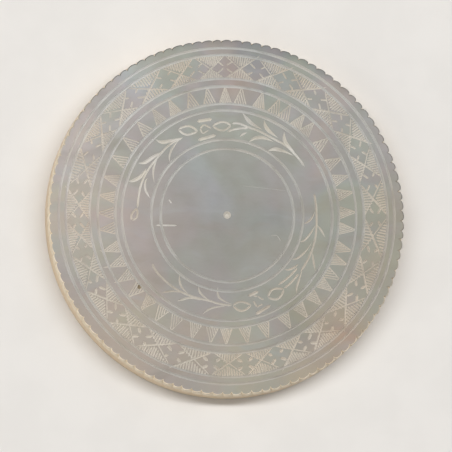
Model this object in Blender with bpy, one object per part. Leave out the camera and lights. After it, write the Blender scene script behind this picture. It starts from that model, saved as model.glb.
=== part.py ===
"""A round gaming counter cut from one piece of mother-of-pearl.

The counter lies on its plain back with the engraved face up. The origin is the middle of the back,
+Z points out of the face and +Y is the top of the face. Lengths are in metres, turns in degrees
counted from +X towards +Y.
"""

import math
from collections import namedtuple

import bmesh
import bpy
import numpy as np
from mathutils import Vector
from mathutils.geometry import delaunay_2d_cdt

# The disc
DISC_DIAMETER = 0.0379
DISC_THICKNESS = 0.0030
SIDE_FLARE = 0.00005
FRONT_BEVEL = 0.00010
BACK_BEVEL = 0.00012

# Nicks filed over the front edge, which leave small round lobes between them, deepest at one turn
NICK_PITCH = 0.001077
NICK_DEPTH = 0.00032
NICK_DEPTH_SWING = 0.00010
DEEP_NICK_TURN = 350.0
NICK_LEAN = 0.00025
PLAIN_SIDE_HEIGHT = 0.0015

# The middle of the engraving, which was marked a little off the middle of the disc
ENGRAVING_OFFSET = 0.00016
ENGRAVING_TURN = 80.0

# Bands of the face, each measured from one ring line to the next, from the rim inwards
RIM_MARGIN = 0.00106
OUTER_LINE_GAP = 0.00074
LOZENGE_BAND = 0.00251
MIDDLE_LINE_GAP = 0.00085
TRIANGLE_BAND = 0.00185
INNER_LINE_GAP = 0.00070
LEAF_BAND = 0.00312
CENTRE_LINE_GAP = 0.00099

# Engraved lines: a graver of one angle, so a wider line is also deeper
GRAVER_ANGLE = 100.0
RING_LINE_WIDTH = 0.00018
FIGURE_LINE_WIDTH = 0.00015
STEM_WIDTH = 0.00020
LEAF_WIDTH = 0.00026
KNOT_BAR_WIDTH = 0.00028
PRICK_DIAMETER = 0.00070
LINE_CLEARANCE = 0.00004

# Repeats round the bands, as arc lengths in the middle of the lozenges and at the foot of the triangles
LOZENGE_PITCH = 0.003687
TRIANGLE_PITCH = 0.001737
TRIANGLE_BASE = 0.00133
FIRST_LOZENGE_TURN = 0.5
FIRST_TRIANGLE_TURN = 2.0

# Two knots with a leaf spray to each side: turns are counted from the knot's middle
KNOT_TURNS = (102.5, 290.3)
KNOT_BAR_HALF_TURN = 5.0
KNOT_FIGURE_HALF_TURN = 2.8
BUD_TURNS = (6.0, 17.0)
STEM_TURNS = (17.0, 77.0)
LEAF_REACH_TURN = 13.0
LEAF_BEND_TURN = 8.5
OUTER_LEAF_ROOT_TURNS = (35.0, 48.0, 60.0)
INNER_LEAF_ROOT_TURNS = (41.0, 54.0, 66.0)

# Heights across the leaf band, from 0 at its inner ring line to 1 at its outer one, outer leaves first
STEM_HEIGHT = 0.52
LEAF_BEND_HEIGHTS = (0.66, 0.36)
LEAF_TIP_HEIGHTS = (0.90, 0.08)
BUD_HALF_HEIGHT = 0.28
OUTER_BAR_HEIGHT = 0.72
INNER_BAR_HEIGHT = 0.13
KNOT_FIGURE_HEIGHTS = (0.26, 0.42, 0.58)

# Fineness of the mesh: the most that a straight facet may leave a true circle, and steps along a stroke
FACET_SAG = 0.000012
POINTS_PER_LOBE = 4
STEPS_PER_LEAF = 4
STEPS_PER_STEM = 12
STEPS_PER_PRICK = 16
POINTED_SHARE = 0.15
WELD_DISTANCE = 1e-7
SHARP_EDGE_ANGLE = 25.0

# The finish: grey, slightly warm shell with a soft polish
NACRE_COLOUR = (0.40, 0.37, 0.33, 1.0)
NACRE_ROUGHNESS = 0.32

# Sizes that follow from the ones above
FACE_RADIUS = DISC_DIAMETER / 2 - SIDE_FLARE
NICK_COUNT = round(2 * math.pi * FACE_RADIUS / NICK_PITCH)
GRAVER_RUN = math.tan(math.radians(GRAVER_ANGLE / 2))

# An engraved line: the points along its middle, half its width at each, and whether it runs on round
Cut = namedtuple("Cut", "points half_widths closed")


def polar(turn, radius):
    """The point of the face at a turn and a radius."""
    angle = math.radians(turn)
    return np.array((radius * math.cos(angle), radius * math.sin(angle)))


def engraving_middle():
    """The point of the face that the engraving is drawn round."""
    return polar(ENGRAVING_TURN, ENGRAVING_OFFSET)


def ring_radii():
    """Radii of the ring lines, from the outermost inwards."""
    bands = (RIM_MARGIN, OUTER_LINE_GAP, LOZENGE_BAND, MIDDLE_LINE_GAP,
             TRIANGLE_BAND, INNER_LINE_GAP, LEAF_BAND, CENTRE_LINE_GAP)
    return [FACE_RADIUS - sum(bands[:count]) for count in range(1, len(bands) + 1)]


def ring_cut(radius):
    """A ring line, with as many facets as its radius needs."""
    facets = math.ceil(math.pi / math.acos(1 - FACET_SAG / radius))
    points = np.array([polar(360 * step / facets, radius) for step in range(facets)])
    return Cut(points, np.full(facets, RING_LINE_WIDTH / 2), True)


def straight_cut(start, end, width):
    """A straight line that keeps its width along its middle and is pointed at both ends."""
    shares = np.array((0, POINTED_SHARE, 1 - POINTED_SHARE, 1))
    points = start + np.outer(shares, end - start)
    return Cut(points, np.array((0, width / 2, width / 2, 0)), False)


def swelling_cut(points, width):
    """A stroke through given points that swells to its width and is pointed at both ends."""
    swell = np.sin(np.linspace(0, math.pi, len(points)))
    swell[-1] = 0
    return Cut(np.array(points), swell * width / 2, False)


def triangle_cuts(top_radius, foot_radius):
    """A row of triangles that stand on the band's inner ring line, two slanted lines each."""
    margin = RING_LINE_WIDTH / 2 + LINE_CLEARANCE
    count = round(2 * math.pi * foot_radius / TRIANGLE_PITCH)
    half_base = math.degrees(TRIANGLE_BASE / 2 / foot_radius)
    cuts = []
    for number in range(count):
        turn = FIRST_TRIANGLE_TURN + 360 * number / count
        apex = polar(turn, top_radius - margin)
        for side in (-half_base, half_base):
            foot = polar(turn + side, foot_radius + margin)
            cuts.append(straight_cut(foot, apex, FIGURE_LINE_WIDTH))
    return cuts


def lozenge_cuts(top_radius, foot_radius):
    """A row of lozenges, drawn as two zigzags that cross half way between their points."""
    margin = RING_LINE_WIDTH / 2 + LINE_CLEARANCE
    top = top_radius - margin
    foot = foot_radius + margin
    count = round(math.pi * (top_radius + foot_radius) / LOZENGE_PITCH)
    cuts = []
    for number in range(count):
        turn = FIRST_LOZENGE_TURN + 360 * number / count
        next_turn = turn + 360 / count
        cuts.append(straight_cut(polar(turn, top), polar(next_turn, foot), FIGURE_LINE_WIDTH))
        cuts.append(straight_cut(polar(turn, foot), polar(next_turn, top), FIGURE_LINE_WIDTH))
    return cuts


class LeafBand:
    """The band of the two knots and their sprays, drawn by turn and by height across the band."""

    def __init__(self, top_radius, foot_radius):
        self.top_radius = top_radius
        self.foot_radius = foot_radius
        self.cuts = []

    def spot(self, turn, height):
        return polar(turn, self.foot_radius + height * (self.top_radius - self.foot_radius))

    def stroke(self, start, bend, end, steps, width):
        """A stroke from start to end, drawn towards a bend, each a turn and a height."""
        points = []
        for share in np.linspace(0, 1, steps + 1):
            weights = ((1 - share) ** 2, 2 * share * (1 - share), share ** 2)
            turn = sum(weight * place[0] for weight, place in zip(weights, (start, bend, end)))
            height = sum(weight * place[1] for weight, place in zip(weights, (start, bend, end)))
            points.append(self.spot(turn, height))
        self.cuts.append(swelling_cut(points, width))

    def knot(self, turn):
        """Two bars with two angles between them, which together look like a small lozenge."""
        for height in (OUTER_BAR_HEIGHT, INNER_BAR_HEIGHT):
            start = self.spot(turn - KNOT_BAR_HALF_TURN, height)
            end = self.spot(turn + KNOT_BAR_HALF_TURN, height)
            self.cuts.append(straight_cut(start, end, KNOT_BAR_WIDTH))
        low, middle, high = KNOT_FIGURE_HEIGHTS
        for tip in (low, high):
            for side in (-KNOT_FIGURE_HALF_TURN, KNOT_FIGURE_HALF_TURN):
                start = self.spot(turn, tip)
                end = self.spot(turn + side, middle)
                self.cuts.append(straight_cut(start, end, FIGURE_LINE_WIDTH))

    def spray(self, knot_turn, side):
        """A bud by the knot and a stem that leads away from it, with leaves along both edges."""
        near, far = (knot_turn + side * turn for turn in BUD_TURNS)
        for bulge in (-BUD_HALF_HEIGHT, BUD_HALF_HEIGHT):
            tips = ((near, STEM_HEIGHT), (far, STEM_HEIGHT))
            bend = ((near + far) / 2, STEM_HEIGHT + bulge)
            self.stroke(tips[0], bend, tips[1], STEPS_PER_LEAF, FIGURE_LINE_WIDTH)
        near, far = (knot_turn + side * turn for turn in STEM_TURNS)
        middle = ((near + far) / 2, STEM_HEIGHT)
        self.stroke((near, STEM_HEIGHT), middle, (far, STEM_HEIGHT), STEPS_PER_STEM, STEM_WIDTH)
        rows = zip((OUTER_LEAF_ROOT_TURNS, INNER_LEAF_ROOT_TURNS), LEAF_BEND_HEIGHTS, LEAF_TIP_HEIGHTS)
        for root_turns, bend_height, tip_height in rows:
            for root_turn in root_turns:
                root = (knot_turn + side * root_turn, STEM_HEIGHT)
                bend = (knot_turn + side * (root_turn - LEAF_BEND_TURN), bend_height)
                tip = (knot_turn + side * (root_turn - LEAF_REACH_TURN), tip_height)
                self.stroke(root, bend, tip, STEPS_PER_LEAF, LEAF_WIDTH)


def face_cuts():
    """Every engraved line of the face."""
    radii = ring_radii()
    _, lozenge_top, lozenge_foot, triangle_top, triangle_foot, leaf_top, leaf_foot, _ = radii
    cuts = [ring_cut(radius) for radius in radii]
    cuts += lozenge_cuts(lozenge_top, lozenge_foot)
    cuts += triangle_cuts(triangle_top, triangle_foot)
    leaves = LeafBand(leaf_top, leaf_foot)
    for turn in KNOT_TURNS:
        leaves.knot(turn)
        leaves.spray(turn, -1)
        leaves.spray(turn, 1)
    return [cut._replace(points=cut.points + engraving_middle()) for cut in cuts + leaves.cuts]


def cut_edges(cut):
    """The left and right edges of a line on the face."""
    if cut.closed:
        ahead = np.roll(cut.points, -1, axis=0) - np.roll(cut.points, 1, axis=0)
    else:
        ahead = np.gradient(cut.points, axis=0)
    ahead /= np.linalg.norm(ahead, axis=1)[:, None]
    aside = np.column_stack((-ahead[:, 1], ahead[:, 0])) * cut.half_widths[:, None]
    return cut.points + aside, cut.points - aside


def cut_depths(spots, cuts):
    """How deep the face is cut at each spot: the deepest V of the lines that reach it."""
    prick_reach = PRICK_DIAMETER / 2 - np.linalg.norm(spots - engraving_middle(), axis=1)
    reach = np.maximum(prick_reach, 0)
    for cut in cuts:
        last = len(cut.points) if cut.closed else len(cut.points) - 1
        for index in range(last):
            following = (index + 1) % len(cut.points)
            start = cut.points[index]
            run = cut.points[following] - start
            along = np.clip((spots - start) @ run / (run @ run), 0, 1)
            away = np.linalg.norm(spots - start - np.outer(along, run), axis=1)
            widening = cut.half_widths[following] - cut.half_widths[index]
            reach = np.maximum(reach, cut.half_widths[index] + widening * along - away)
    return reach / GRAVER_RUN


def side_radius(height):
    """Radius of the un-nicked side, which widens towards the back."""
    drop = DISC_THICKNESS - height
    return FACE_RADIUS + SIDE_FLARE * drop / (DISC_THICKNESS - BACK_BEVEL)


def lobed_loop(inset, height):
    """Points of the nicked edge at a height, drawn in by an inset."""
    points = []
    for step in range(NICK_COUNT * POINTS_PER_LOBE):
        share = step / POINTS_PER_LOBE
        turn = 360 * share / NICK_COUNT
        depth = NICK_DEPTH + NICK_DEPTH_SWING * math.cos(math.radians(turn - DEEP_NICK_TURN))
        nick = depth * (1 - math.sin(math.pi * (share % 1)))
        x, y = polar(turn, side_radius(height) - nick - inset)
        points.append((x, y, height))
    return points


def plain_loop(inset, height):
    """Points of the plain side at a height, one below each nick, moved by the nicks' lean."""
    lean = math.degrees(NICK_LEAN / FACE_RADIUS)
    points = []
    for number in range(NICK_COUNT):
        x, y = polar(360 * number / NICK_COUNT + lean, side_radius(height) - inset)
        points.append((x, y, height))
    return points


class FacePlan:
    """Points and edges of the face seen from above, to be joined up into triangles."""

    def __init__(self):
        self.points = []
        self.edges = []

    def add(self, run, closed):
        """Add a run of points with the edges along it, and return the points' numbers."""
        numbers = list(range(len(self.points), len(self.points) + len(run)))
        self.points.extend(Vector(point) for point in run)
        self.edges.extend(zip(numbers, numbers[1:]))
        if closed:
            self.edges.append((numbers[-1], numbers[0]))
        return numbers


def add_face(mesh, cuts):
    """Add the engraved face to a mesh and return the vertices of its edge, in order."""
    plan = FacePlan()
    rim = plan.add([point[:2] for point in lobed_loop(FRONT_BEVEL, DISC_THICKNESS)], True)
    for cut in cuts:
        left, right = cut_edges(cut)
        for run in (left, cut.points, right):
            plan.add(run, cut.closed)
    prick_turns = np.linspace(0, 360, STEPS_PER_PRICK, endpoint=False)
    plan.add([engraving_middle() + polar(turn, PRICK_DIAMETER / 2) for turn in prick_turns], True)
    plan.add([engraving_middle()], False)

    inside_only = 1
    joined = delaunay_2d_cdt(plan.points, plan.edges, [], inside_only, WELD_DISTANCE)
    spots, triangles, sources = np.array(joined[0]), joined[2], joined[3]
    heights = DISC_THICKNESS - cut_depths(spots, cuts)
    verts = [mesh.verts.new((x, y, z)) for (x, y), z in zip(spots, heights)]
    for triangle in triangles:
        mesh.faces.new([verts[corner] for corner in triangle])
    place = {number: index for index, numbers in enumerate(sources) for number in numbers}
    return [verts[place[number]] for number in rim]


def bridge(mesh, upper, lower):
    """Join two loops of vertices with as many points in each."""
    count = len(upper)
    for index in range(count):
        following = (index + 1) % count
        mesh.faces.new((upper[index], lower[index], lower[following], upper[following]))


def bridge_lobes(mesh, upper, lower):
    """Join the nicked loop to the plain one: each lobe narrows to the side between two nicks."""
    for number in range(NICK_COUNT):
        near = lower[number]
        far = lower[(number + 1) % NICK_COUNT]
        first = number * POINTS_PER_LOBE
        lobe = [upper[(first + step) % len(upper)] for step in range(POINTS_PER_LOBE + 1)]
        tip = POINTS_PER_LOBE // 2
        for step in range(POINTS_PER_LOBE):
            mesh.faces.new((lobe[step], near if step < tip else far, lobe[step + 1]))
        mesh.faces.new((lobe[tip], near, far))


def counter_mesh():
    """The whole counter as one closed body."""
    mesh = bmesh.new()
    face_edge = add_face(mesh, face_cuts())
    loops = [
        lobed_loop(0, DISC_THICKNESS - FRONT_BEVEL),
        plain_loop(0, BACK_BEVEL + PLAIN_SIDE_HEIGHT),
        plain_loop(0, BACK_BEVEL),
        plain_loop(BACK_BEVEL, 0),
    ]
    lobes, nick_ends, side_foot, back_edge = ([mesh.verts.new(point) for point in loop] for loop in loops)
    bridge(mesh, face_edge, lobes)
    bridge_lobes(mesh, lobes, nick_ends)
    bridge(mesh, nick_ends, side_foot)
    bridge(mesh, side_foot, back_edge)
    mesh.faces.new(back_edge)
    bmesh.ops.recalc_face_normals(mesh, faces=mesh.faces)
    return mesh


def mother_of_pearl():
    """The counter's one material."""
    material = bpy.data.materials.new("mother_of_pearl")
    material.use_nodes = True
    shader = material.node_tree.nodes["Principled BSDF"]
    shader.inputs["Base Color"].default_value = NACRE_COLOUR
    shader.inputs["Roughness"].default_value = NACRE_ROUGHNESS
    shader.inputs["Metallic"].default_value = 0.0
    return material


def main():
    for item in list(bpy.data.objects):
        bpy.data.objects.remove(item, do_unlink=True)
    data = bpy.data.meshes.new("counter_disc")
    mesh = counter_mesh()
    mesh.to_mesh(data)
    mesh.free()
    data.shade_smooth()
    data.set_sharp_from_angle(angle=math.radians(SHARP_EDGE_ANGLE))
    data.materials.append(mother_of_pearl())
    counter = bpy.data.objects.new("counter_disc", data)
    bpy.context.scene.collection.objects.link(counter)


main()
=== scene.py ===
"""The looks of a round mother-of-pearl gaming counter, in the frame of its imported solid.

The counter lies on its plain back with the engraved face up. The origin is the middle of the back,
+Z points out of the face and +Y is the top of the face. Lengths are in metres, turns in degrees
counted from +X towards +Y, colours as red, green and blue from 0 to 255.
"""

import math
from collections import namedtuple
from itertools import chain

import bmesh
import bpy
import numpy as np
from mathutils import Matrix, Vector
from mathutils.geometry import delaunay_2d_cdt


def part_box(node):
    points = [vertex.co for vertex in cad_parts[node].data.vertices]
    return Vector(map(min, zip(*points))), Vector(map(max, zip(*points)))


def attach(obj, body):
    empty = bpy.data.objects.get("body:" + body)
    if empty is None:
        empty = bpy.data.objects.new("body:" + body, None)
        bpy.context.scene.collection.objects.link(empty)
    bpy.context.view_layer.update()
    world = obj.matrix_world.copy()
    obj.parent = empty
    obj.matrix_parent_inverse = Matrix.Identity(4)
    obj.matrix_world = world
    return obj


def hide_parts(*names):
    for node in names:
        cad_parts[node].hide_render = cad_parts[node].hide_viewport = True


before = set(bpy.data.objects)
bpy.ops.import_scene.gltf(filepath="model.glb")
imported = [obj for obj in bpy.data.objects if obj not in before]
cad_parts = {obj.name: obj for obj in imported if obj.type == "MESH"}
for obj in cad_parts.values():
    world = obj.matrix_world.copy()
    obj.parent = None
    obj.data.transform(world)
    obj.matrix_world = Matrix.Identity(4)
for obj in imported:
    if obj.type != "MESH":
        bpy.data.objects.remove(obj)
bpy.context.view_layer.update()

# The disc, from the solid that it stands for
LOW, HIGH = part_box("counter_disc")
BACK_RADIUS = (HIGH.x - LOW.x) / 2
THICKNESS = HIGH.z - LOW.z
SIDE_FLARE = 0.00005
FACE_RADIUS = BACK_RADIUS - SIDE_FLARE
FRONT_BEVEL = 0.00010
BACK_BEVEL = 0.00012
BEVEL_ROUNDING = 0.3

# Nicks filed over the front edge, which leave small round lobes between them, deepest at one turn
NICK_COUNT = 110
NICK_DEPTH = 0.00027
NICK_DEPTH_SWING = 0.00008
DEEP_NICK_TURN = 350.0
NICK_LEAN = 0.00025
PLAIN_SIDE_HEIGHT = 0.0015
NICK_PITCH_SPREAD = 0.09
NICK_DEPTH_SPREAD = 0.20
LOBE_SKEW = 0.8
LOBE_ROUNDNESS = 0.5

# The middle of the engraving, which was marked a little off the middle of the disc
ENGRAVING_OFFSET = 0.00016
ENGRAVING_TURN = 80.0

# Bands of the face, each measured from one ring line to the next, from the rim inwards
BANDS = {
    "rim margin": 0.00106,
    "outer line gap": 0.00074,
    "lozenge band": 0.00251,
    "middle line gap": 0.00085,
    "triangle band": 0.00185,
    "inner line gap": 0.00070,
    "leaf band": 0.00312,
    "centre line gap": 0.00099,
}

# Engraved lines: a graver of one angle, so a wider line is also deeper
GRAVER_ANGLE = 100.0
RING_LINE_WIDTH = 0.00028
RING_UNEVENNESS = 0.25
RING_WAVES = (2, 5, 11)
POINTED_SHARE = 0.12
SHORT_LINE_WIDTH_SHARE = 0.6
HAND_SEED = 11

# Triangles: the turn of each apex, and where their long sides run furthest past the ring line
APEX_TURNS = (
    2.5, 11.5, 19, 27.5, 38, 47.5, 53, 60.5, 66, 74, 83.5, 91, 99, 107.5, 117, 125.5, 134.5,
    144, 153.5, 163.5, 172, 180, 187.5, 197, 204.5, 212, 220, 228, 236, 244, 254, 262.5, 269.5,
    279, 288.5, 299.5, 308.5, 317, 325, 331, 338.5, 345, 354.5,
)
TRIANGLE_BASE = 0.00133
TRIANGLE_LINE_WIDTH = 0.00014
TRIANGLE_HATCHES = (5, 6, 7)
OVERSHOOT = 0.00012
LONG_OVERSHOOT = 0.00060
LONG_OVERSHOOT_TURN = 204
LONG_OVERSHOOT_SPREAD = 11

# Lozenges: the turn of each middle, the crossed lines between them and the hatching above and below
LOZENGE_TURNS = (
    0.5, 14.5, 27, 39.5, 52.5, 66, 78.5, 91, 102, 114.5, 129, 142, 154.5, 170.5, 183, 195.5,
    209, 222, 235, 249, 264, 277, 289.5, 302.5, 315.5, 330.5, 345,
)
BOLD_SIDE_WIDTH = 0.00020
FINE_SIDE_WIDTH = 0.00012
BOLD_SIDE_OVERSHOOTS = (0, 0, 0.00015, 0.00035)
LOZENGE_HATCH_WIDTH = 0.00018
OUTER_HATCHES = 15
INNER_HATCHES = 13
HATCH_SLANT = 0.9
HATCH_WANDER = 0.00002
TICK_LENGTH = 0.00072
TICK_LENGTH_SPREAD = 0.2
TICK_WIDTH = 0.00025
TICK_WIDTH_SWING = 0.00008

# Leaf band strokes as (turn, height) points, from height 0 at the inner ring line to 1 at the outer
STEM_WIDTH = 0.00022
STEMS = (
    ((87, .56), (83, .58), (77, .52), (71.5, .51), (60, .49), (50.5, .55), (42, .56), (33, .56)),
    ((90.5, .26), (83, .40), (76.5, .49)),
    ((120, .44), (130, .49), (141, .47), (152, .50), (160, .51), (168, .49), (176.5, .47)),
    ((213.5, .46), (217, .51), (225, .51), (238, .48), (248, .43), (257, .39), (264, .43), (273, .48)),
    ((15, .48), (10, .47), (2, .46), (-5, .47), (-14, .50), (-24, .52), (-37, .53)),
    ((-36, .37), (-44, .35), (-53.5, .32)),
    ((-38.5, .52), (-46, .54), (-51.5, .53)),
)
BOLD_LEAF_WIDTH = 0.00040
BOLD_LEAVES = (
    ((81.5, .95), (78.5, .79), (74.5, .66), (68, .59)),
    ((69, .93), (67, .75), (63, .64), (57, .60)),
    ((56, .90), (54, .72), (51, .62), (43, .59)),
    ((74, .02), (70, .24), (65, .36), (58, .41)),
    ((58, .03), (55.5, .19), (51, .32), (42.5, .49)),
    ((134, .94), (133, .78), (131, .67), (126.5, .55), (120.5, .45)),
    ((150.5, .90), (149, .76), (146, .66), (140, .55), (136, .48)),
    ((162, .95), (161, .82), (158, .66), (154, .58), (150.5, .58)),
)
FINE_LEAF_WIDTH = 0.00022
FINE_LEAVES = (
    ((81, .14), (79, .25), (76.5, .34)),
    ((121.5, .45), (127, .38), (132, .29), (135.5, .18), (138, .05)),
    ((140.5, .46), (145.5, .41), (151, .30), (157, .11)),
    ((155.5, .38), (158.5, .41), (163.5, .32), (166.5, .19), (168.5, .09)),
    ((230, .91), (232, .76), (235, .60), (240, .48)),
    ((240, .82), (242, .69), (246, .51), (253.5, .44)),
    ((256, .90), (258, .73), (262, .58), (269.5, .49)),
    ((231.5, .02), (234, .18), (238, .33), (244, .42)),
    ((248, .03), (250, .18), (253.5, .29), (259, .39)),
    ((262.5, -.12), (263, .10), (265.5, .27), (273.5, .45)),
    ((-5, .03), (-4, .14), (-1, .29), (4, .42)),
    ((-19.5, .01), (-17, .16), (-11, .31), (-5, .44)),
    ((-34, .02), (-31, .18), (-25, .31), (-16.5, .43)),
    ((-43, .06), (-41, .18), (-37, .28), (-33.5, .32)),
    ((-5, .49), (-8, .65), (-12, .83)),
    ((-22.5, .55), (-27, .71), (-32, .95)),
    ((-34, .51), (-41, .66), (-45.5, .79), (-48, .93)),
    ((13, .48), (6, .47), (-3, .46)),
)

# Buds as almonds: a tip, the outer side, the other tip and the inner side
BUD_LINE_WIDTH = 0.00022
BUDS = (
    ((120, .76), (113.5, .70), (109.5, .43), (117, .47)),
    ((99.5, .49), (93, .60), (87.5, .48), (93.5, .31)),
    ((176.5, .48), (180.5, .66), (184, .66), (182, .49)),
    ((273.5, .48), (279, .38), (285, .56), (278.5, .69)),
    ((296.5, .50), (302, .35), (308, .55), (301.5, .71)),
)
KNOT_BAR_WIDTH = 0.00034
KNOT_BARS = (
    ((108, .76), (99, .73)),
    ((111.5, .15), (98, .17)),
    ((284.5, .24), (292.5, .19)),
    ((286, .90), (296, .78)),
)
KNOT_FIGURE_WIDTH = 0.00017
KNOT_FIGURES = (
    ((104.5, .60), (100.5, .42)),
    ((107.5, .50), (107, .31)),
    ((107, .31), (102.5, .37)),
    ((107.5, .50), (104.5, .60)),
    ((288, .27), (290.5, .34)),
    ((290.5, .34), (293.5, .53)),
    ((287, .44), (288, .67)),
    ((288, .67), (292, .64)),
)

# Wear: scratches as two ends and a width, and two round pits, placed from the engraving's middle
DEEP_SCRATCHES = (
    ((-0.00760, -0.00118), (-0.00535, -0.00118), 0.00018),
    ((-0.00624, 0.00158), (-0.00590, 0.00116), 0.00015),
)
FAINT_SCRATCHES = (
    ((0.00150, 0.00318), (0.00630, 0.00274), 0.00004),
    ((0.00460, -0.00208), (0.00530, -0.00203), 0.00009),
    ((0.00530, -0.00203), (0.00567, -0.00261), 0.00009),
)
PRICK_PLACE = (-0.00002, 0.00003)
PRICK_RADIUS = 0.00040
SPECK_PLACE = (-0.00932, -0.00774)
SPECK_RADIUS = 0.00022
PIT_WALL_SHARE = 0.6

# Fineness of the mesh: how far a facet may leave a true circle, steps along shapes, and slacks
FACET_SAG = 0.000002
POINTS_PER_LOBE = 12
NICK_LEVELS = 9
BEVEL_LEVELS = 2
STEPS_PER_SPAN = 5
STEPS_PER_PIT = 20
WELD_DISTANCE = 1e-7
CUT_THRESHOLD = 0.000002
END_SLACK = 0.001
SHARP_EDGE_ANGLE = 30.0

# The bake's map: one large square for the face, and a column beside it for the side and the back
FACE_MAP = 0.76
MAP_MARGIN = 0.004
SIDE_STRIPS = 3

# The photograph's view
VIEW_TILT = 11.0
VIEW_TURN = 225.0
VIEW_DISTANCE = 0.60
VIEW_WIDTH = 0.04756
VIEW_MIDDLE = (-0.00011, -0.00098)

# Light: turn, rise above the floor, length, width and rough share of the floor's light of each lamp
Lamp = namedtuple("Lamp", "name turn rise length width share colour")
LAMPS = (
    Lamp("key", 90, 75.5, 1.00, 0.07, 0.92, (255, 255, 255)),
    Lamp("side", 22, 34, 0.36, 0.36, 0.05, (255, 255, 255)),
    Lamp("fill", 208, 28, 0.44, 0.44, 0.12, (255, 248, 236)),
)
LAMP_DISTANCE = 0.60
WORLD_SHARE = 0.20
FLOOR_WIDTH = 3.0

# The shell's colour, and soft clouds in it, partly painted sheen and shade: middle, reach, colour and
# strength of each
Cloud = namedtuple("Cloud", "middle reach colour strength")
FACE_COLOUR = (146, 142, 134)
FACE_CLOUDS_SHEEN_AND_SHADE = (
    # Lighter and warmer on the left: partly the shell's own tone, partly painted sheen
    Cloud((-0.0160, 0.0010), 0.0120, (175, 161, 150), 0.9),
    Cloud((-0.0110, -0.0125), 0.0100, (171, 157, 138), 0.8),
    Cloud((0.0010, -0.0165), 0.0090, (166, 154, 136), 0.7),
    Cloud((-0.0120, 0.0120), 0.0080, (163, 158, 151), 0.7),
    # Painted sheen: a lighter patch at the left
    Cloud((-0.0162, 0.0078), 0.0060, (182, 175, 167), 0.6),
    Cloud((0.0128, -0.0134), 0.0075, (160, 138, 114), 0.9),
    Cloud((0.0185, 0.0005), 0.0070, (145, 132, 114), 0.8),
    Cloud((0.0162, -0.0058), 0.0050, (150, 134, 117), 0.6),
    Cloud((0.0005, 0.0005), 0.0100, (135, 132, 122), 0.9),
    Cloud((0.0045, -0.0005), 0.0040, (131, 132, 126), 0.7),
    Cloud((-0.0030, 0.0052), 0.0040, (147, 149, 146), 0.6),
    Cloud((-0.0018, 0.0018), 0.0040, (149, 153, 154), 0.6),
    # Painted sheen: a bluish-white light on the upper left
    Cloud((-0.0096, 0.0148), 0.0046, (164, 166, 167), 0.7),
    Cloud((-0.0062, -0.0022), 0.0038, (146, 137, 125), 0.6),
    Cloud((-0.0005, -0.0042), 0.0036, (136, 132, 120), 0.6),
    Cloud((0.0125, 0.0010), 0.0085, (138, 136, 128), 0.7),
    # Painted shade: this cloud and the next darken the face towards its top edge
    Cloud((0.0040, 0.0178), 0.0080, (128, 128, 123), 0.9),
    Cloud((0.0010, 0.0186), 0.0036, (112, 113, 112), 0.3),
    Cloud((0.0085, -0.0160), 0.0040, (168, 150, 131), 0.7),
    Cloud((0.0004, 0.0152), 0.0024, (155, 137, 125), 0.6),
    Cloud((0.0074, -0.0100), 0.0040, (134, 125, 108), 0.6),
)
SWIRL_SCALE = 140
SWIRL_REACH = 0.005

# Streaks in the shell: their turn, how fine they are along each axis, and their colours
GROWTH_TURN = 35
GROWTH_BANDS = (90, 420, 90)
FINE_GRAIN = (1500, 3800, 1500)
DULL_BAND_COLOUR = (138, 130, 116)
BRIGHT_BAND_COLOUR = (156, 158, 156)
GRAIN_STRENGTH = 0.05
GRAIN_TONES = ((60, 60, 60), (255, 255, 255))

# The play of colour: a film in nanometres from thin to thick, calm inside one radius, lively past another
CALM_FILM = (390, 430)
LIVELY_FILM = (340, 480)
FILM_RADII = (0.006, 0.012)
FILM_IOR = 1.43
NACRE_IOR = 1.55
PLAY_STRENGTH = 0.03

# The pale floors of cuts: two tints, and their share away from one turn and towards it
Engraved = namedtuple("Engraved", "name tints worn_share fresh_share")
ENGRAVED_LINES = (
    Engraved("ring_lines", ((240, 241, 239), (239, 236, 229)), 0.29, 0.45),
    Engraved("figure_lines", ((238, 231, 219), (236, 224, 207)), 0.50, 0.54),
    Engraved("leaf_lines", ((233, 230, 224), (226, 219, 204)), 0.72, 0.72),
    Engraved("faint_lines", ((238, 231, 219), (236, 224, 207)), 0.48, 0.48),
)
# The turn that the lines grow paler towards
PALEST_LINES_TURN = 110

# The edge, with painted shade about one turn and pale elsewhere, partly painted highlight, and painted
# shade on the face's margin beside it
SHADED_EDGE_TURN = 65
SHADED_MARGIN_TURN = 78
SHADED_MARGIN_WIDTH = 0.0009
EDGE_SHADE_COLOUR = (108, 108, 103)
PALE_AND_HIGHLIGHT_EDGE_COLOURS = ((240, 226, 204), (222, 204, 176))

# The side in layers, with patches and a cream upper part that is partly the nicks' cut and partly painted
# highlight
SIDE_LAYERS = (120, 120, 5200)
SIDE_LAYER_COLOURS = ((232, 212, 183), (220, 198, 165))
SIDE_PATCH_COLOUR = (206, 181, 147)
CREAM_AND_HIGHLIGHT_COLOUR = (236, 222, 198)
CREAM_AND_HIGHLIGHT_HEIGHTS = (0.55 * THICKNESS, 0.80 * THICKNESS)

# The back in bands and spots, with the scores of its grinding
BACK_SWIRL_SCALE = 110
BACK_SWIRL_REACH = 0.008
BACK_BAND_TURN = -20
BACK_BANDS = (60, 300, 60)
BACK_BAND_COLOURS = ((178, 168, 152), (160, 156, 147))
BACK_SPOT_COLOUR = (176, 152, 122)
GRINDING_TURN = 62
GRINDING_SCORES = (250, 9000, 250)

# Dirt in the speck, and the paper of the floor
DIRT_COLOURS = ((122, 108, 84), (152, 136, 108))
PAPER_COLOURS = ((231, 228, 224), (234, 231, 227))

# The sockets of a mix node that take its share and two colours, and the one that gives the result
MIX_SOCKETS = (0, 6, 7)
MIX_RESULT = 2

# Sizes that follow from the ones above
GRAVER_RUN = math.tan(math.radians(GRAVER_ANGLE / 2))
RING_RADII = [FACE_RADIUS - reach for reach in np.cumsum(list(BANDS.values()))]

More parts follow.
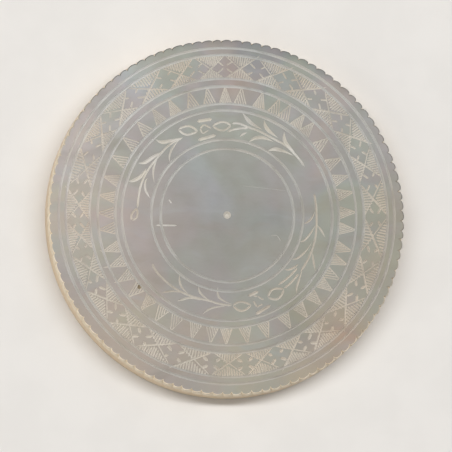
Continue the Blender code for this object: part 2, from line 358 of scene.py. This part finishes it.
# The slots of the counter's mesh
POLISHED, RING_LINES, FIGURE_LINES, LEAF_LINES, FAINT_LINES, SPECK, EDGE, SIDE, BACK = range(9)

# An engraved line: the points along its middle, half its width at each, and whether it runs on round
Cut = namedtuple("Cut", "points half_widths closed")

# A round dish in the face: its middle, its radius and the slot of its colour
Pit = namedtuple("Pit", "place radius slot")

hand = np.random.default_rng(HAND_SEED)


def polar(turn, radius):
    """The point of the face at a turn and a radius."""
    angle = math.radians(turn)
    return np.array((radius * math.cos(angle), radius * math.sin(angle)))


def engraving_middle():
    """The point of the face that the engraving is drawn round."""
    return polar(ENGRAVING_TURN, ENGRAVING_OFFSET)


def slow_wave(turns):
    """A smooth uneven wave round the disc, from -1 to 1."""
    phases = hand.uniform(0, 360, len(RING_WAVES))
    waves = [np.sin(np.radians(count * turns + phase)) for count, phase in zip(RING_WAVES, phases)]
    return np.mean(waves, axis=0)


def ring_cut(radius):
    """A ring line, with as many facets as its radius needs, a little uneven in its width."""
    facets = math.ceil(math.pi / math.acos(1 - FACET_SAG / radius))
    turns = np.linspace(0, 360, facets, endpoint=False)
    swell = 1 + RING_UNEVENNESS * slow_wave(turns)
    points = np.array([polar(turn, radius) for turn in turns])
    return Cut(points, swell * RING_LINE_WIDTH / 2, True)


def straight_cut(start, end, width):
    """A straight line that keeps its width along its middle and is pointed at both ends."""
    length = np.linalg.norm(end - start)
    width = min(width, SHORT_LINE_WIDTH_SHARE * length)
    pointed = max(POINTED_SHARE, SHORT_LINE_WIDTH_SHARE * width / length)
    points = start + np.outer((0, pointed, 1 - pointed, 1), end - start)
    return Cut(points, np.array((0, width / 2, width / 2, 0)), False)


def swelling_cut(points, width):
    """A stroke through given points that swells to its width and is pointed at both ends."""
    swell = np.sin(np.linspace(0, math.pi, len(points)))
    swell[-1] = 0
    return Cut(points, swell * width / 2, False)


def steady_cut(points, width):
    """A stroke through given points that keeps its width but for its pointed ends."""
    half_widths = np.full(len(points), width / 2)
    half_widths[[0, -1]] = 0
    return Cut(points, half_widths, False)


def wander(point):
    """A point moved a little, as by an unsteady hand."""
    return point + hand.uniform(-HATCH_WANDER, HATCH_WANDER, 2)


def triangle_cuts(top_radius, foot_radius):
    """The triangles on their ring line: a long side, a short side, and hatching that follows the short."""
    half_base = math.degrees(TRIANGLE_BASE / 2 / foot_radius)
    cuts = []
    for turn in APEX_TURNS:
        apex = polar(turn, top_radius)
        short_foot = polar(turn - half_base, foot_radius)
        long_foot = polar(turn + half_base, foot_radius)
        long_side = apex - long_foot
        nearness = math.exp(-((turn - LONG_OVERSHOOT_TURN) / LONG_OVERSHOOT_SPREAD) ** 2)
        past = OVERSHOOT * hand.uniform(0, 1) + LONG_OVERSHOOT * nearness
        tip = apex + past * long_side / np.linalg.norm(long_side)
        cuts.append(straight_cut(long_foot, tip, TRIANGLE_LINE_WIDTH))
        cuts.append(straight_cut(short_foot, apex, TRIANGLE_LINE_WIDTH))
        hatches = hand.choice(TRIANGLE_HATCHES)
        for number in range(1, hatches):
            share = number / hatches
            start = short_foot + share * (long_foot - short_foot)
            end = apex - share * long_side
            cuts.append(straight_cut(wander(start), wander(end), TRIANGLE_LINE_WIDTH))
    return cuts


def lozenge_cuts(top_radius, foot_radius):
    """The lozenges: crossed lines between their middles, hatching in the gaps and four ticks in each."""
    cuts = []
    for turn, next_turn in zip(LOZENGE_TURNS, LOZENGE_TURNS[1:] + (LOZENGE_TURNS[0] + 360,)):
        overshoot = hand.choice(BOLD_SIDE_OVERSHOOTS)
        bold = (polar(turn, top_radius + overshoot), polar(next_turn, foot_radius))
        fine = (polar(turn, foot_radius), polar(next_turn, top_radius))
        cuts.append(straight_cut(*bold, BOLD_SIDE_WIDTH))
        cuts.append(straight_cut(*fine, FINE_SIDE_WIDTH))
        cuts += gap_hatching(turn, next_turn, top_radius, foot_radius - top_radius, OUTER_HATCHES)
        cuts += gap_hatching(turn, next_turn, foot_radius, top_radius - foot_radius, INNER_HATCHES)
        cuts += lozenge_ticks(turn, next_turn, top_radius, foot_radius)
    return cuts


def gap_hatching(turn, next_turn, base_radius, depth, hatches):
    """Lines from a ring line to the crossed lines, all with much the same slant."""
    slant = hand.uniform(-HATCH_SLANT, HATCH_SLANT)
    cuts = []
    for number in range(1, hatches):
        share = number / hatches
        across = turn + share * (next_turn - turn)
        reach = depth * min(share, 1 - share)
        start = polar(across, base_radius)
        end = polar(across + slant * min(share, 1 - share), base_radius + reach)
        cuts.append(straight_cut(wander(start), wander(end), LOZENGE_HATCH_WIDTH))
    return cuts


def lozenge_ticks(turn, next_turn, top_radius, foot_radius):
    """Short strokes from the sides that meet between two lozenges, towards the lozenges' middles."""
    middle_radius = (top_radius + foot_radius) / 2
    crossing = polar((turn + next_turn) / 2, middle_radius)
    cuts = []
    for lozenge_turn in (turn, next_turn):
        middle = polar(lozenge_turn, middle_radius)
        width = TICK_WIDTH - TICK_WIDTH_SWING * math.sin(math.radians(lozenge_turn))
        for tip_radius in (top_radius, foot_radius):
            start = (crossing + polar(lozenge_turn, tip_radius)) / 2
            inwards = (middle - start) / np.linalg.norm(middle - start)
            length = TICK_LENGTH * hand.uniform(1 - TICK_LENGTH_SPREAD, 1 + TICK_LENGTH_SPREAD)
            cuts.append(straight_cut(start, wander(start + length * inwards), width))
    return cuts


def smooth_run(points):
    """Points of a smooth curve through a stroke's own points."""
    points = np.array(points, float)
    before = np.vstack((2 * points[0] - points[1], points[:-1]))
    after = np.vstack((points[1:], 2 * points[-1] - points[-2]))
    slopes = (after - before) / 2
    run = []
    for start, end, leave, arrive in zip(points, points[1:], slopes, slopes[1:]):
        for share in np.arange(STEPS_PER_SPAN) / STEPS_PER_SPAN:
            rest = 1 - share
            run.append(rest * rest * (1 + 2 * share) * start + share * rest * rest * leave
                       + share * share * (1 + 2 * rest) * end - share * share * rest * arrive)
    run.append(points[-1])
    return run


def arched_run(start, middle, end):
    """Points of one round arch from a start through a middle to an end."""
    start, middle, end = np.array((start, middle, end), float)
    shares = np.linspace(0, 1, 2 * STEPS_PER_SPAN + 1)
    bulge = middle - (start + end) / 2
    return [start + share * (end - start) + math.sin(math.pi * share) * bulge for share in shares]


def leaf_band_cuts(top_radius, foot_radius):
    """The two knots, their buds and the sprays that lead away from them."""
    def spots(points):
        """Points of the face from turns and heights across the band."""
        heights = top_radius - foot_radius
        return np.array([polar(turn, foot_radius + height * heights) for turn, height in points])

    cuts = [steady_cut(spots(smooth_run(stem)), STEM_WIDTH) for stem in STEMS]
    cuts += [swelling_cut(spots(smooth_run(leaf)), BOLD_LEAF_WIDTH) for leaf in BOLD_LEAVES]
    cuts += [swelling_cut(spots(smooth_run(leaf)), FINE_LEAF_WIDTH) for leaf in FINE_LEAVES]
    for first_tip, outer_side, last_tip, inner_side in BUDS:
        for side in (outer_side, inner_side):
            cuts.append(steady_cut(spots(arched_run(first_tip, side, last_tip)), BUD_LINE_WIDTH))
    cuts += [straight_cut(*spots(bar), KNOT_BAR_WIDTH) for bar in KNOT_BARS]
    cuts += [straight_cut(*spots(line), KNOT_FIGURE_WIDTH) for line in KNOT_FIGURES]
    return cuts


def scratch_cuts(scratches):
    """Scratches as straight lines."""
    return [straight_cut(np.array(start), np.array(end), width) for start, end, width in scratches]


def face_cuts():
    """Every engraved line and scratch of the face, under the slot of its colour."""
    _, lozenge_top, lozenge_foot, triangle_top, triangle_foot, leaf_top, leaf_foot, _ = RING_RADII
    sprays = leaf_band_cuts(leaf_top, leaf_foot)
    upper_sprays = [cut for cut in sprays if cut.points[:, 1].mean() > 0]
    lower_sprays = [cut for cut in sprays if cut.points[:, 1].mean() <= 0]
    rings = [ring_cut(radius) for radius in RING_RADII]
    lozenges = lozenge_cuts(lozenge_top, lozenge_foot)
    triangles = triangle_cuts(triangle_top, triangle_foot)
    cuts_of_slots = {
        RING_LINES: rings + scratch_cuts(FAINT_SCRATCHES),
        FIGURE_LINES: lozenges + triangles,
        LEAF_LINES: upper_sprays + scratch_cuts(DEEP_SCRATCHES),
        FAINT_LINES: lower_sprays,
    }
    for slot, cuts in cuts_of_slots.items():
        cuts_of_slots[slot] = [cut._replace(points=cut.points + engraving_middle()) for cut in cuts]
    return cuts_of_slots


def face_pits():
    """The prick that the rings were drawn from, and a dark speck."""
    prick = Pit(engraving_middle() + PRICK_PLACE, PRICK_RADIUS, FIGURE_LINES)
    speck = Pit(engraving_middle() + SPECK_PLACE, SPECK_RADIUS, SPECK)
    return prick, speck


def cut_edges(cut):
    """The left and right edges of a line on the face."""
    if cut.closed:
        ahead = np.roll(cut.points, -1, axis=0) - np.roll(cut.points, 1, axis=0)
    else:
        ahead = np.gradient(cut.points, axis=0)
    ahead /= np.linalg.norm(ahead, axis=1)[:, None]
    aside = np.column_stack((-ahead[:, 1], ahead[:, 0])) * cut.half_widths[:, None]
    return cut.points + aside, cut.points - aside


def pit_reach(spots, pit):
    """How far down the wall of a pit each spot lies: 0 outside it, and the same all over its floor."""
    away = np.linalg.norm(spots - pit.place, axis=1)
    return np.clip(pit.radius - away, 0, PIT_WALL_SHARE * pit.radius)


def cut_reaches(spots, cut):
    """For each stretch of a line, the numbers of the spots near it and how far inside it they lie."""
    last = len(cut.points) if cut.closed else len(cut.points) - 1
    for index in range(last):
        following = (index + 1) % len(cut.points)
        start, end = cut.points[index], cut.points[following]
        widest = max(cut.half_widths[index], cut.half_widths[following])
        low, high = np.minimum(start, end) - widest, np.maximum(start, end) + widest
        near = np.flatnonzero(np.all((spots > low) & (spots < high), axis=1))
        run = end - start
        along = (spots[near] - start) @ run / (run @ run)
        away = np.linalg.norm(spots[near] - start - np.outer(along, run), axis=1)
        widening = cut.half_widths[following] - cut.half_widths[index]
        beside = abs(along - 0.5) <= 0.5 + END_SLACK
        yield near, np.where(beside, cut.half_widths[index] + widening * along - away, 0)


def cut_depths(spots, cuts_of_slots):
    """How deep the face is cut at each spot, and the slot of the cut that is deepest there."""
    reach = np.zeros(len(spots))
    slots = np.full(len(spots), POLISHED)

    def deepen(near, inside, slot):
        """Note a cut at the spots where it reaches deeper than those before it."""
        deeper = inside > reach[near]
        reach[near[deeper]] = inside[deeper]
        slots[near[deeper]] = slot

    everywhere = np.arange(len(spots))
    for pit in face_pits():
        deepen(everywhere, pit_reach(spots, pit), pit.slot)
    for slot, cuts in cuts_of_slots.items():
        for cut in cuts:
            for near, inside in cut_reaches(spots, cut):
                deepen(near, inside, slot)
    return reach / GRAVER_RUN, slots


class FacePlan:
    """Points and edges of the face seen from above, to be joined up into triangles."""

    def __init__(self):
        self.points = []
        self.edges = []

    def add(self, run, closed):
        """Add a run of points with the edges along it, and return the points' numbers."""
        numbers = list(range(len(self.points), len(self.points) + len(run)))
        self.points.extend(Vector(point) for point in run)
        self.edges.extend(zip(numbers, numbers[1:]))
        if closed:
            self.edges.append((numbers[-1], numbers[0]))
        return numbers

    def add_pit(self, pit):
        """Add the edge of a pit and the edge of its floor."""
        turns = np.linspace(0, 360, STEPS_PER_PIT, endpoint=False)
        for radius in (pit.radius, (1 - PIT_WALL_SHARE) * pit.radius):
            self.add([pit.place + polar(turn, radius) for turn in turns], True)


def add_face(mesh, rim_points):
    """Add the engraved face to a mesh and return the vertices of its edge, in order."""
    cuts_of_slots = face_cuts()
    plan = FacePlan()
    rim = plan.add([point[:2] for point in rim_points], True)
    for cut in chain(*cuts_of_slots.values()):
        left, right = cut_edges(cut)
        for run in (left, cut.points, right):
            plan.add(run, cut.closed)
    for pit in face_pits():
        plan.add_pit(pit)

    inside_only = 1
    joined = delaunay_2d_cdt(plan.points, plan.edges, [], inside_only, WELD_DISTANCE)
    spots, triangles, sources = np.array(joined[0]), joined[2], joined[3]
    depths, slots = cut_depths(spots, cuts_of_slots)
    verts = [mesh.verts.new((x, y, THICKNESS - depth)) for (x, y), depth in zip(spots, depths)]
    for triangle in triangles:
        face = mesh.faces.new([verts[corner] for corner in triangle])
        deepest = triangle[np.argmax(depths[triangle])]
        face.material_index = slots[deepest] if depths[triangle].mean() > CUT_THRESHOLD else POLISHED
    place = {number: index for index, numbers in enumerate(sources) for number in numbers}
    return [verts[place[number]] for number in rim]


class Rim:
    """The nicked edge: where each nick lies round it and how deep it is."""

    def __init__(self):
        starts = np.arange(NICK_COUNT) + hand.uniform(-NICK_PITCH_SPREAD, NICK_PITCH_SPREAD, NICK_COUNT)
        swing = NICK_DEPTH_SWING * np.cos(np.radians(360 * starts / NICK_COUNT - DEEP_NICK_TURN))
        spread = hand.uniform(1 - NICK_DEPTH_SPREAD, 1 + NICK_DEPTH_SPREAD, NICK_COUNT)
        depths = (NICK_DEPTH + swing) * spread
        self.starts = np.append(starts, starts[0] + NICK_COUNT)
        self.depths = np.append(depths, depths[0])

    def loop(self, height, inset, share):
        """Points round the disc at a height and an inset, with a share of the nicks' depth left."""
        drop = THICKNESS - height
        radius = FACE_RADIUS + SIDE_FLARE * min(drop / (THICKNESS - BACK_BEVEL), 1) - inset
        lean = math.degrees(NICK_LEAN / FACE_RADIUS) * (1 - share)
        points = []
        for number in range(NICK_COUNT):
            for step in range(POINTS_PER_LOBE):
                along = step / POINTS_PER_LOBE
                start, end = self.starts[number], self.starts[number + 1]
                depth = self.depths[number] + along * (self.depths[number + 1] - self.depths[number])
                nick = share * depth * (1 - math.sin(math.pi * along ** LOBE_SKEW) ** LOBE_ROUNDNESS)
                turn = 360 * (start + along * (end - start)) / NICK_COUNT + lean
                points.append((*polar(turn, radius - nick), height))
        return points

    def loops(self):
        """All loops from the face's edge to the back's."""
        loops = [self.loop(THICKNESS, FRONT_BEVEL, 1)]
        loops.append(self.loop(THICKNESS - FRONT_BEVEL * BEVEL_ROUNDING, FRONT_BEVEL * BEVEL_ROUNDING, 1))
        top = THICKNESS - FRONT_BEVEL
        foot = BACK_BEVEL + PLAIN_SIDE_HEIGHT
        for share in np.linspace(1, 0, NICK_LEVELS):
            loops.append(self.loop(foot + share * (top - foot), 0, share))
        loops.append(self.loop(BACK_BEVEL, 0, 0))
        loops.append(self.loop(BACK_BEVEL * BEVEL_ROUNDING, BACK_BEVEL * BEVEL_ROUNDING, 0))
        loops.append(self.loop(0, BACK_BEVEL, 0))
        return loops


class BakeMap:
    """Places on the bake's map: the face from above, the side in strips and the back small below."""

    def __init__(self, mesh):
        self.layer = mesh.loops.layers.uv.new("OFBake")
        self.scale = FACE_MAP / (2 * BACK_RADIUS)

    def flat(self, face, corner, width):
        """Lay a face out as seen along Z, in a square with its low corner and width given."""
        for loop in face.loops:
            spot = loop.vert.co.xy / (2 * BACK_RADIUS) + Vector((0.5, 0.5))
            loop[self.layer].uv = Vector(corner) + spot * width

    def strip(self, face, step, steps, low, high):
        """Lay a face of the side out in a strip: one step along it, between two heights."""
        per_strip = steps / SIDE_STRIPS
        number = int(step / per_strip)
        run = 2 * math.pi * BACK_RADIUS * self.scale / steps
        column = FACE_MAP + MAP_MARGIN + number * (1 - FACE_MAP) / SIDE_STRIPS
        along = MAP_MARGIN + (step - number * per_strip) * run
        corners = ((high, 0), (low, 0), (low, 1), (high, 1))
        for loop, (height, ahead) in zip(face.loops, corners):
            loop[self.layer].uv = (column + height * self.scale, along + ahead * run)


def counter_mesh():
    """The whole counter as one closed body, with its map for the bake."""
    mesh = bmesh.new()
    bake_map = BakeMap(mesh)
    loops = Rim().loops()
    rings = [add_face(mesh, loops[0])]
    for face in mesh.faces:
        bake_map.flat(face, (0, 1 - FACE_MAP), FACE_MAP)
    rings += [[mesh.verts.new(point) for point in loop] for loop in loops[1:]]
    travel = 0
    for level, (upper, lower) in enumerate(zip(rings, rings[1:])):
        start = travel
        travel += (upper[0].co - lower[0].co).length
        for step in range(len(upper)):
            following = (step + 1) % len(upper)
            face = mesh.faces.new((upper[step], lower[step], lower[following], upper[following]))
            face.material_index = EDGE if level < BEVEL_LEVELS else SIDE
            face.smooth = True
            bake_map.strip(face, step, len(upper), travel, start)
    back = mesh.faces.new(list(reversed(rings[-1])))
    back.material_index = BACK
    bake_map.flat(back, (MAP_MARGIN, MAP_MARGIN), 1 - FACE_MAP - 2 * MAP_MARGIN)
    mesh.normal_update()
    for edge in mesh.edges:
        edge.smooth = edge.calc_face_angle() < math.radians(SHARP_EDGE_ANGLE)
    return mesh


def colour(red, green, blue):
    """A colour written from 0 to 255 on the sRGB curve, as the shaders take it."""
    def linear(value):
        """One part of the colour on a straight scale from 0 to 1."""
        value /= 255
        return value / 12.92 if value <= 0.04045 else ((value + 0.055) / 1.055) ** 2.4

    return (linear(red), linear(green), linear(blue), 1.0)


class Shading:
    """One material's nodes, with short calls for the kinds that the materials share."""

    def __init__(self, name):
        self.material = bpy.data.materials.new(name)
        self.material.use_nodes = True
        self.tree = self.material.node_tree
        self.shader = self.tree.nodes["Principled BSDF"]
        self.place = self.tree.nodes.new("ShaderNodeTexCoord").outputs["Object"]

    def put(self, value, socket):
        """Give a socket another node's output, or a plain value."""
        if isinstance(value, bpy.types.NodeSocket):
            self.tree.links.new(value, socket)
        else:
            socket.default_value = value

    def noise(self, place, scale, detail=2.0, roughness=0.5):
        """The outputs of a cloudy noise: first a value from 0 to 1, then a colour."""
        node = self.tree.nodes.new("ShaderNodeTexNoise")
        node.inputs["Scale"].default_value = scale
        node.inputs["Detail"].default_value = detail
        node.inputs["Roughness"].default_value = roughness
        self.put(place, node.inputs["Vector"])
        return node.outputs

    def streaks(self, place, turn, fineness, detail=3.0, roughness=0.5):
        """A noise value on a place turned about Z, with a fineness of its own along each axis."""
        node = self.tree.nodes.new("ShaderNodeMapping")
        node.inputs["Rotation"].default_value = (0, 0, math.radians(turn))
        node.inputs["Scale"].default_value = fineness
        self.put(place, node.inputs["Vector"])
        return self.noise(node.outputs[0], 1.0, detail, roughness)[0]

    def share(self, value, low, high, least=0.0, most=1.0):
        """A value's smooth way from low to high, as least to most."""
        node = self.tree.nodes.new("ShaderNodeMapRange")
        node.interpolation_type = "SMOOTHSTEP"
        for number, setting in enumerate((value, low, high, least, most)):
            self.put(setting, node.inputs[number])
        return node.outputs[0]

    def vector(self, operation, first, second):
        """A sum, product, distance or the like of two vectors."""
        node = self.tree.nodes.new("ShaderNodeVectorMath")
        node.operation = operation
        self.put(first, node.inputs[0])
        self.put(second, node.inputs[1])
        return node.outputs["Value" if operation in ("DISTANCE", "DOT_PRODUCT") else "Vector"]

    def warped(self, scale, reach):
        """The place moved about by noise, by up to about half a reach."""
        swirl = self.noise(self.place, scale)["Color"]
        centred = self.vector("SUBTRACT", swirl, (0.5, 0.5, 0.5))
        return self.vector("ADD", self.place, self.vector("MULTIPLY", centred, (reach, reach, reach)))

    def mix(self, share, first, second, blend="MIX"):
        """Two colours mixed by a share of the second."""
        node = self.tree.nodes.new("ShaderNodeMix")
        node.data_type = "RGBA"
        node.blend_type = blend
        for number, setting in zip(MIX_SOCKETS, (share, first, second)):
            self.put(setting, node.inputs[number])
        return node.outputs[MIX_RESULT]

    def between(self, value, low, high, colours):
        """The first of two colours up to a low value, the second from a high one on."""
        first, second = colours
        return self.mix(self.share(value, low, high), colour(*first), colour(*second))

    def grained(self, base, grain):
        """A base colour made darker and lighter along a grain."""
        dark, light = GRAIN_TONES
        tone = self.mix(grain, colour(*dark), colour(*light))
        return self.mix(GRAIN_STRENGTH, base, tone, "OVERLAY")

    def clouds(self, place):
        """The shell's own colour with soft clouds on it, partly its own mottling, partly painted sheen and
        shade.
        """
        base = colour(*FACE_COLOUR)
        for cloud in FACE_CLOUDS_SHEEN_AND_SHADE:
            away = self.vector("DISTANCE", place, (*cloud.middle, THICKNESS))
            share = self.share(away, cloud.reach, 0.0, most=cloud.strength)
            base = self.mix(share, base, colour(*cloud.colour))
        return base

    def lean(self, turn):
        """How far a place lies towards a turn, up to 1 at the face's edge."""
        return self.vector("DOT_PRODUCT", self.place, (*polar(turn, 1 / FACE_RADIUS), 0))

    def bump(self, height, strength, distance):
        """A fine relief by a height's value."""
        node = self.tree.nodes.new("ShaderNodeBump")
        node.inputs["Strength"].default_value = strength
        node.inputs["Distance"].default_value = distance
        self.put(height, node.inputs["Height"])
        self.put(node.outputs[0], self.shader.inputs["Normal"])

    def finish(self, base, roughness, **settings):
        """Set the shader's colour, roughness and plain settings, and return the material."""
        self.put(base, self.shader.inputs["Base Color"])
        self.put(roughness, self.shader.inputs["Roughness"])
        for name, value in settings.items():
            self.shader.inputs[name.replace("_", " ")].default_value = value
        return self.material


def polished_nacre():
    """Ground, polished shell: clouds, growth bands, play of colour, fine grain; painted shade at one
    margin.
    """
    shading = Shading("polished_nacre")
    place = shading.warped(SWIRL_SCALE, SWIRL_REACH)
    base = shading.clouds(place)
    bands = shading.streaks(place, GROWTH_TURN, GROWTH_BANDS)
    dull = shading.share(bands, low=0.55, high=0.75, most=0.5)
    base = shading.mix(dull, base, colour(*DULL_BAND_COLOUR))
    bright = shading.share(bands, low=0.45, high=0.25, most=0.5)
    base = shading.mix(bright, base, colour(*BRIGHT_BAND_COLOUR))
    outwards = shading.vector("DISTANCE", shading.place, (0, 0, THICKNESS))
    # Painted shade: the face's margin darkens towards one turn
    painted_shade_most = shading.share(shading.lean(SHADED_MARGIN_TURN), low=0.70, high=0.96, most=0.6)
    margin = shading.share(outwards, FACE_RADIUS - SHADED_MARGIN_WIDTH, FACE_RADIUS, most=painted_shade_most)
    base = shading.mix(margin, base, colour(*EDGE_SHADE_COLOUR))
    play = shading.noise(place, scale=420)["Color"]
    base = shading.mix(PLAY_STRENGTH, base, play, "OVERLAY")
    grain = shading.streaks(shading.place, GROWTH_TURN, FINE_GRAIN, roughness=0.6)
    base = shading.grained(base, grain)
    shading.bump(grain, strength=0.12, distance=0.00002)
    thin, thick = (shading.share(outwards, *FILM_RADII, *run) for run in zip(CALM_FILM, LIVELY_FILM))
    film = shading.share(shading.noise(place, scale=150)[0], low=0.3, high=0.7, least=thin, most=thick)
    shading.put(film, shading.shader.inputs["Thin Film Thickness"])
    gloss = shading.noise(shading.place, scale=600, detail=3.0)[0]
    roughness = shading.share(gloss, low=0.3, high=0.7, least=0.32, most=0.42)
    return shading.finish(base, roughness, IOR=NACRE_IOR, Thin_Film_IOR=FILM_IOR, Specular_IOR_Level=0.30)


def engraved_nacre(lines):
    """The matt floor of cuts: the shell's clouds under a share of two pale tints, less where worn."""
    shading = Shading(lines.name)
    shell = shading.clouds(shading.warped(SWIRL_SCALE, SWIRL_REACH))
    patches = shading.noise(shading.place, scale=190)[0]
    pale = shading.between(patches, 0.45, 0.65, lines.tints)
    palest_lean = shading.lean(PALEST_LINES_TURN)
    share = shading.share(palest_lean, low=-0.7, high=0.9, least=lines.worn_share, most=lines.fresh_share)
    base = shading.mix(share, shell, pale)
    worn = shading.noise(shading.place, scale=420, detail=3.0)[0]
    base = shading.mix(shading.share(worn, low=0.40, high=0.75, most=0.4), base, shell)
    grit = shading.noise(shading.place, scale=9000)[0]
    shading.bump(grit, strength=0.25, distance=0.00002)
    return shading.finish(base, shading.share(worn, low=0.3, high=0.7, least=0.62, most=0.80))


def worn_and_shaded_edge():
    """The edge that the file broke: matt and pale, partly a painted highlight, with painted shade about
    one turn.
    """
    shading = Shading("worn_and_shaded_edge")
    wear = shading.noise(shading.place, scale=1400, detail=3.0)[0]
    # The edge's pale: partly the filed edge's own colour, partly painted highlight
    pale = shading.between(wear, 0.35, 0.65, PALE_AND_HIGHLIGHT_EDGE_COLOURS)
    # Painted shade: the edge darkens towards one turn
    dark = shading.share(shading.lean(SHADED_EDGE_TURN), low=-0.5, high=0.6)
    base = shading.mix(dark, pale, colour(*EDGE_SHADE_COLOUR))
    return shading.finish(base, shading.share(wear, low=0.3, high=0.7, least=0.45, most=0.62))


def amber_side():
    """The sawn side: cream where the nicks cut it and as painted highlight, amber below, in layers along
    the face.
    """
    shading = Shading("amber_side")
    split = shading.tree.nodes.new("ShaderNodeSeparateXYZ")
    shading.put(shading.place, split.inputs[0])
    layers = shading.streaks(shading.place, 0, SIDE_LAYERS)
    base = shading.between(layers, 0.35, 0.65, SIDE_LAYER_COLOURS)
    patches = shading.noise(shading.place, scale=130)[0]
    patchy = shading.share(patches, low=0.5, high=0.7, most=0.5)
    base = shading.mix(patchy, base, colour(*SIDE_PATCH_COLOUR))
    # Painted highlight: the upper part of the side is cream, partly for the nicks' cut
    cream = shading.share(split.outputs["Z"], *CREAM_AND_HIGHLIGHT_HEIGHTS)
    base = shading.mix(cream, base, colour(*CREAM_AND_HIGHLIGHT_COLOUR))
    shading.bump(layers, strength=0.2, distance=0.00003)
    roughness = shading.share(layers, low=0.3, high=0.7, least=0.38, most=0.52)
    return shading.finish(base, roughness, IOR=NACRE_IOR)


def ground_back():
    """The plain back: the shell's own bands under a fine ground surface."""
    shading = Shading("ground_back")
    place = shading.warped(BACK_SWIRL_SCALE, BACK_SWIRL_REACH)
    bands = shading.streaks(place, BACK_BAND_TURN, BACK_BANDS)
    base = shading.between(bands, 0.35, 0.65, BACK_BAND_COLOURS)
    spots = shading.noise(place, scale=260, detail=3.0)[0]
    spotted = shading.share(spots, low=0.6, high=0.8, most=0.5)
    base = shading.mix(spotted, base, colour(*BACK_SPOT_COLOUR))
    scores = shading.streaks(shading.place, GRINDING_TURN, GRINDING_SCORES, detail=2.0)
    base = shading.grained(base, scores)
    shading.bump(scores, strength=0.15, distance=0.00002)
    roughness = shading.share(scores, low=0.3, high=0.7, least=0.36, most=0.48)
    return shading.finish(base, roughness, IOR=NACRE_IOR)


def dark_speck():
    """A small fault in the shell, filled with dirt."""
    shading = Shading("dark_speck")
    dirt = shading.noise(shading.place, scale=6000)[0]
    return shading.finish(shading.between(dirt, 0.3, 0.7, DIRT_COLOURS), roughness=0.8)


def pale_paper():
    """The floor: off-white paper with a faint mottle."""
    shading = Shading("pale_paper")
    mottle = shading.noise(shading.place, scale=160, detail=4.0)[0]
    return shading.finish(shading.between(mottle, 0.35, 0.65, PAPER_COLOURS), roughness=0.9)


def counter_materials():
    """The counter's materials in the order of its slots."""
    cuts = [engraved_nacre(lines) for lines in ENGRAVED_LINES]
    return [polished_nacre(), *cuts, dark_speck(), worn_and_shaded_edge(), amber_side(), ground_back()]


def add_counter():
    """The counter as one piece that stands for the solid."""
    data = bpy.data.meshes.new("counter")
    mesh = counter_mesh()
    mesh.to_mesh(data)
    mesh.free()
    for material in counter_materials():
        data.materials.append(material)
    counter = bpy.data.objects.new("counter", data)
    bpy.context.scene.collection.objects.link(counter)
    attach(counter, "root")
    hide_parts("counter_disc")


def add_floor():
    """A wide sheet of paper under the counter."""
    data = bpy.data.meshes.new("floor")
    half = FLOOR_WIDTH / 2
    corners = ((-half, -half, LOW.z), (half, -half, LOW.z), (half, half, LOW.z), (-half, half, LOW.z))
    data.from_pydata(corners, [], [(0, 1, 2, 3)])
    data.materials.append(pale_paper())
    floor = bpy.data.objects.new("floor", data)
    bpy.context.scene.collection.objects.link(floor)


def towards(turn, rise):
    """The direction at a turn and a rise above the floor."""
    flat = math.cos(math.radians(rise))
    return Vector((*polar(turn, flat), math.sin(math.radians(rise))))


def add_light():
    """Lamps that together with the sky give the floor its own colour."""
    for lamp in LAMPS:
        data = bpy.data.lights.new(lamp.name, "AREA")
        data.shape = "RECTANGLE"
        data.size = lamp.length
        data.size_y = lamp.width
        data.color = colour(*lamp.colour)[:3]
        data.energy = lamp.share * (math.pi * LAMP_DISTANCE) ** 2 / math.sin(math.radians(lamp.rise))
        light = bpy.data.objects.new(lamp.name, data)
        light.location = towards(lamp.turn, lamp.rise) * LAMP_DISTANCE
        light.rotation_euler = light.location.to_track_quat("Z", "Y").to_euler()
        bpy.context.scene.collection.objects.link(light)
    world = bpy.data.worlds.new("soft_sky")
    world.use_nodes = True
    world.node_tree.nodes["Background"].inputs["Color"].default_value = colour(255, 255, 255)
    world.node_tree.nodes["Background"].inputs["Strength"].default_value = WORLD_SHARE
    bpy.context.scene.world = world


def add_camera():
    """A camera far above the face, tilted a little towards the side that shows."""
    data = bpy.data.cameras.new("camera")
    data.lens = data.sensor_width * VIEW_DISTANCE / VIEW_WIDTH
    camera = bpy.data.objects.new("camera", data)
    back = towards(VIEW_TURN, 90 - VIEW_TILT)
    right = Vector((0, 1, 0)).cross(back).normalized()
    rotation = Matrix((right, back.cross(right), back)).transposed()
    middle = Vector((*VIEW_MIDDLE, THICKNESS))
    camera.matrix_world = Matrix.Translation(middle + back * VIEW_DISTANCE) @ rotation.to_4x4()
    bpy.context.scene.collection.objects.link(camera)
    bpy.context.scene.camera = camera


add_counter()
add_floor()
add_light()
add_camera()
bpy.context.scene.view_settings.view_transform = "Standard"
